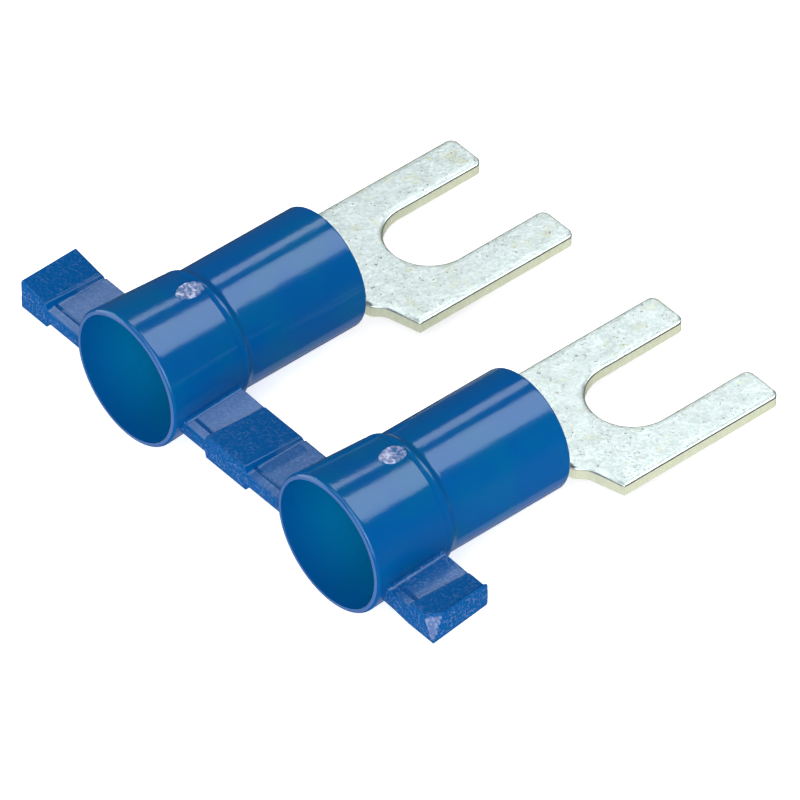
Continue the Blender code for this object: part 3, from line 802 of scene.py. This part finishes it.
def edge_distance(x, y, segments):
    """How far a point of the blank is from the nearest of these straight edges."""
    nearest = 1.0
    for ax, ay, bx, by in segments:
        length_squared = (bx - ax) ** 2 + (by - ay) ** 2
        share = max(0.0, min(1.0, ((x - ax) * (bx - ax) + (y - ay) * (by - ay)) / length_squared))
        nearest = min(nearest, math.hypot(x - ax - share * (bx - ax), y - ay - share * (by - ay)))
    return nearest


def skin(bm, near, far, material=0):
    """Close the gap between two rows of points with faces."""
    for here in range(len(near) - 1):
        bm.faces.new((near[here], near[here + 1], far[here + 1], far[here])).material_index = material


def bare_corner(bm, near, far):
    """Close a strip of the rolled corner; the plating is thin where the corner faces left or to the tip."""
    for here in range(len(near) - 1):
        bare = near[here + 1].co.y <= near[here].co.y + SAME_Y
        face = bm.faces.new((near[here], near[here + 1], far[here + 1], far[here]))
        face.material_index = 1 if bare else 0


def make_fork(name):
    """One terminal on its own axis, with the sheet's sheared sides in the second material slot."""
    bm = bmesh.new()
    base = -MIDDLE_RADIUS
    rows = blank_rows()
    columns = blank_columns()
    end_y = rows[-1][0]
    sides = [(half, y) for y, half, _ in rows if y > BARREL_END - NECK_RUN_OUT]
    edges = [(ax, ay, bx, by) for (ax, ay), (bx, by) in zip(sides, sides[1:])]
    edges += [(-ax, ay, -bx, by) for ax, ay, bx, by in edges]
    edges += [(TONGUE_HALF, end_y, TONGUE_HALF, TIP_Y), (-TONGUE_HALF, end_y, -TONGUE_HALF, TIP_Y)]
    rings = []
    for y, half, bite in rows:
        curvature = (1.0 - smooth_rise((y - SLEEVE_LENGTH) / (FLAT_Y - SLEEVE_LENGTH))) / MIDDLE_RADIUS
        outer = []
        inner = []
        for share in columns:
            distance = half * share
            facing = smooth_rise((y - SHOULDER_Y) / FACING_RUN + 1.0) if share > 0.0 else 0.0
            drop = roll_drop(edge_distance(distance, y, edges), facing) if y > BARREL_END else bite
            x, z = rolled(distance, curvature, -SHEET / 2.0)
            outer.append(bm.verts.new((x, y, base + z)))
            x, z = rolled(distance, curvature, SHEET / 2.0 - drop)
            inner.append(bm.verts.new((x, y, base + z)))
        rings.append((outer, inner))
    for (outer, inner), (next_outer, next_inner) in zip(rings, rings[1:]):
        skin(bm, outer, next_outer)
        skin(bm, inner[:CORNER_STEPS + 1], next_inner[:CORNER_STEPS + 1], 1)
        skin(bm, inner[CORNER_STEPS:], next_inner[CORNER_STEPS:])
        for side in (0, -1):
            skin(bm, (outer[side], inner[side]), (next_outer[side], next_inner[side]), 1)
    skin(bm, rings[0][0], rings[0][1], 1)
    outer, inner = rings[-1]
    below = [bm.verts.new((x, y, base - SHEET / 2.0)) for x, y in fork_edge(0.0, end_y)[1:-1]]
    under = [outer[-1]] + below + [outer[0]]
    loops = []
    for number, inset in enumerate(roll_steps()):
        line = fork_edge(inset, end_y)
        loop = []
        for (ax, ay), (x, y), (bx, by) in zip(line, line[1:], line[2:]):
            facing = max(0.0, (by - ay) / math.hypot(bx - ax, by - ay))
            loop.append(bm.verts.new((x, y, base + SHEET / 2.0 - roll_drop(inset, facing))))
        loops.append([inner[-1 - number]] + loop + [inner[number]])
    skin(bm, under, loops[0], 1)
    for near, far in zip(loops[:CORNER_STEPS], loops[1:]):
        bare_corner(bm, near, far)
    for near, far in zip(loops[CORNER_STEPS:], loops[CORNER_STEPS + 1:]):
        skin(bm, near, far)
    steps = len(loops) - 1
    bm.faces.new(under + outer[1:-1])
    bm.faces.new(loops[-1] + inner[steps + 1:-1 - steps])
    piece = new_piece(name, bm)
    piece.data.materials.append(tin_finish.material)
    piece.data.materials.append(sheared_finish.material)
    return piece


tin_finish = Finish("bright_tin_plate", (0.46, 0.49, 0.46), 0.34, 1.0)
cloudy = tin_finish.cloud(0.5, 4.0)
grainy = tin_finish.between(0.36, tin_finish.cloud(0.13, 3.0), 0.64)
yellow = tin_finish.between(0.56, tin_finish.cloud(0.7, 4.0), 0.72)
speck = tin_finish.between(0.645, tin_finish.cloud(0.14, 2.0), 0.73)
plated = tin_finish.mix(grainy, (0.71, 0.845, 0.825, 1.0), (0.885, 0.99, 1.0, 1.0))
plated = tin_finish.mix(yellow * grainy * 0.8, plated, (0.76, 0.82, 0.56, 1.0))
tin_finish.set("Base Color", tin_finish.mix(speck * 0.7, plated, (0.26, 0.29, 0.20, 1.0)))
tin_finish.set("Roughness", cloudy * 0.14 + speck * 0.15 + 0.27)
tin_finish.relief(tin_finish.cloud(0.14, 5.0) * 0.7 + cloudy * 0.3, 0.012)

sheared_finish = Finish("sheared_copper_edge", (0.48, 0.50, 0.36), 0.45)
grain = sheared_finish.cloud(0.12, 4.0, (1.0, 1.0, 0.25))
sheared_finish.set("Base Color", sheared_finish.mix(grain, (0.43, 0.455, 0.31, 1.0), (0.61, 0.65, 0.50, 1.0)))
sheared_finish.set("Roughness", grain * 0.2 + 0.3)
sheared_finish.relief(grain, 0.02)

for seat in range(SLEEVES):
    fork = make_fork("fork_terminal_%s" % "ab"[seat])
    settle(fork, Vector((FIRST_AXIS + seat * PITCH, RIM_Y, AXIS_Z)), smooth_up_to=30)
    burr = fork.modifiers.new("lower_edges", "BEVEL")
    burr.width = SHEAR_BREAK
    burr.segments = 2
    burr.limit_method = "ANGLE"
    burr.angle_limit = math.radians(50)
    burr.harden_normals = True
    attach(fork, "root")
    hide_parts("fork_terminal_%d" % (seat + 1))

# Floor, studio lights and camera.
# A plain pale floor, a broad soft box over the forks and a narrower one to its left, four fills and a low
# card, in a dim room. The camera stands far off with a long lens, where the photograph was taken from.
FLOOR_HALF = 1.5
BOX_DISTANCE = 1.2
BOX_POWER = 4.0
AZIMUTH = math.radians(49.7)
ELEVATION = math.radians(43.0)
DISTANCE = 0.4849
AIM_RIGHT = 1.78 * MM
AIM_BACK = 7.70 * MM

floor_finish = Finish("pale_floor", (0.85, 0.85, 0.85), 0.9)
floor_finish.set("Emission Color", (1.0, 1.0, 1.0, 1.0))
floor_finish.set("Emission Strength", 0.72)
floor_finish.material.cycles.emission_sampling = "NONE"
bm = bmesh.new()
bmesh.ops.create_grid(bm, x_segments=1, y_segments=1, size=FLOOR_HALF)
floor = new_piece("floor", bm)
floor.data.materials.append(floor_finish.material)
floor.visible_glossy = False
floor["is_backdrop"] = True

world = bpy.data.worlds.new("dim_studio")
world.use_nodes = True
world.node_tree.nodes["Background"].inputs["Color"].default_value = (1.0, 1.0, 1.0, 1.0)
world.node_tree.nodes["Background"].inputs["Strength"].default_value = 0.05
bpy.context.scene.world = world


def looking_back(place, way):
    """The matrix of a light or camera that stands at a place and looks back along this direction."""
    return Matrix.Translation(place) @ way.to_track_quat("Z", "Y").to_matrix().to_4x4()


def soft_box(name, towards, width, height, twist, glow):
    """A soft box facing the part; width and height are for a distance of 1, and glow is its brightness."""
    light = bpy.data.lights.new(name, "AREA")
    light.shape = "RECTANGLE"
    light.size = width * BOX_DISTANCE
    light.size_y = height * BOX_DISTANCE
    light.energy = glow * light.size * light.size_y * BOX_POWER
    box = bpy.data.objects.new(name, light)
    way = Vector(towards).normalized()
    box.matrix_world = looking_back(way * BOX_DISTANCE, way) @ Matrix.Rotation(math.radians(twist), 4, "Z")
    bpy.context.scene.collection.objects.link(box)


soft_box("broad_soft_box", (0.179, 0.543, 0.820), 0.54, 0.62, -14.6, 3.4)
soft_box("narrow_soft_box", (-0.468, 0.449, 0.762), 0.17, 0.29, -14.6, 2.9)
soft_box("top_fill", (-0.1, -0.35, 0.93), 0.8, 0.8, 0.0, 1.0)
soft_box("front_fill", (0.5, -0.58, 0.64), 0.8, 0.8, 0.0, 2.3)
soft_box("left_fill", (-0.85, -0.5, 0.2), 0.8, 0.8, 0.0, 2.4)
soft_box("side_fill", (0.85, -0.45, 0.3), 0.6, 0.6, 0.0, 2.6)
soft_box("low_card", (-0.06, 0.473, -0.879), 0.6, 0.5, 0.0, 0.24)

aim = Vector((FIRST_AXIS + PITCH / 2.0 + AIM_RIGHT, RIM_Y + AIM_BACK, AXIS_Z))
outwards = math.cos(ELEVATION)
sight = Vector((math.sin(AZIMUTH) * outwards, -math.cos(AZIMUTH) * outwards, math.sin(ELEVATION)))
lens = bpy.data.cameras.new("long_lens")
lens.sensor_width = 36.0
lens.lens = 540.0
camera = bpy.data.objects.new("camera", lens)
camera.matrix_world = looking_back(aim + sight * DISTANCE, sight)
bpy.context.scene.collection.objects.link(camera)
bpy.context.scene.camera = camera
bpy.context.scene.view_settings.view_transform = "Standard"

low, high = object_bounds()
